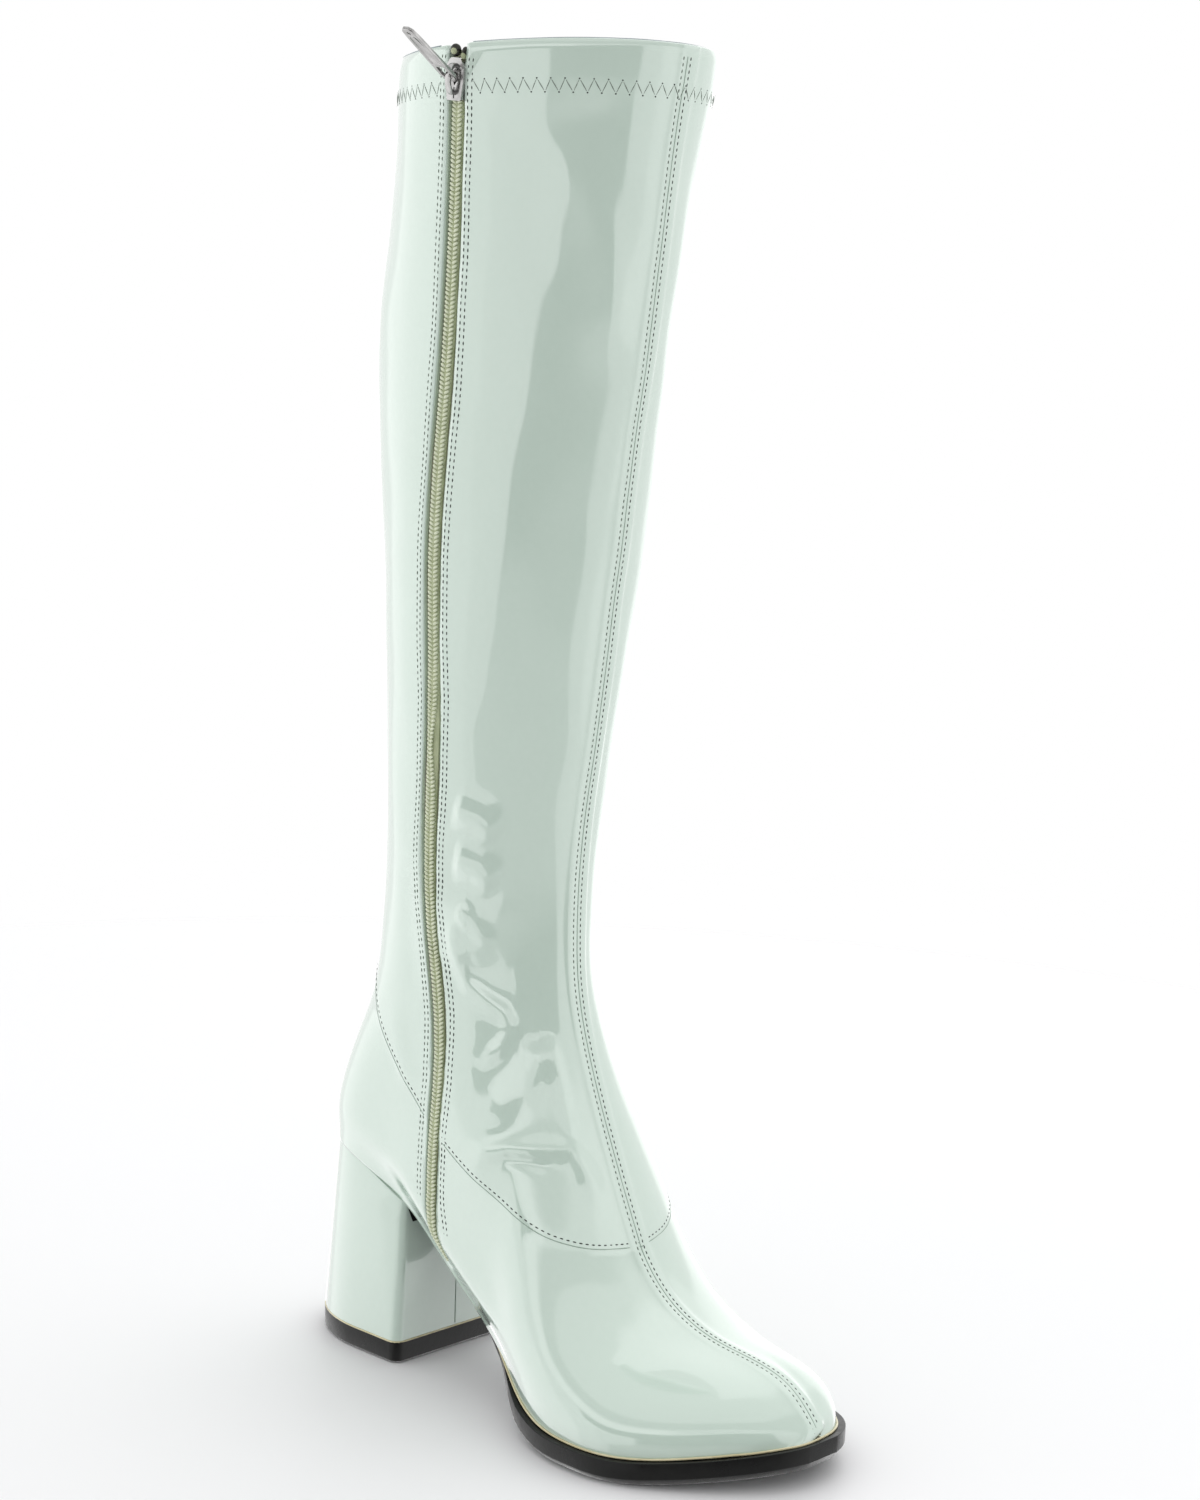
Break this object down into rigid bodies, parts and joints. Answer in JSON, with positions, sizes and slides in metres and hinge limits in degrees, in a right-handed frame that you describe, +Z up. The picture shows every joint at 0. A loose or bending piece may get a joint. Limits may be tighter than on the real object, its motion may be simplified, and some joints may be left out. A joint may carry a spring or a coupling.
{
  "type": "go go boot",
  "caption": "Knee-high patent boot with a covered block heel, rounded toe, raised front seam and inner-side zip, standing empty.",
  "frame": {"origin": "middle of the top-lift's underside, on the floor under the heel", "axes": "+X to the toe, +Z up the shaft, -Y to the inner side with the zip"},
  "size_m": [0.2352, 0.1211, 0.4729],
  "materials": {
    "patent": "high gloss patent",
    "sole": "semi gloss black",
    "lining": "matt",
    "tape": "woven",
    "metal": "polished"
  },
  "bodies": {
    "boot": {"upper": "patent", "insole": "lining", "outsole": "sole", "heel": "patent", "top-lift": "sole", "zip-tape": "tape", "zip-chain": "tape", "zip-slider": "metal"},
    "pull": {"zip-pull": "metal"}
  },
  "joints": [
    {"name": "pull_hinge", "type": "hinge", "parent": "boot", "child": "pull", "pos_m": [0.06793, -0.04941, 0.4586], "axis": [0.9921, 0.0379, -0.1196], "range_deg": [-45, 115]}
  ]
}
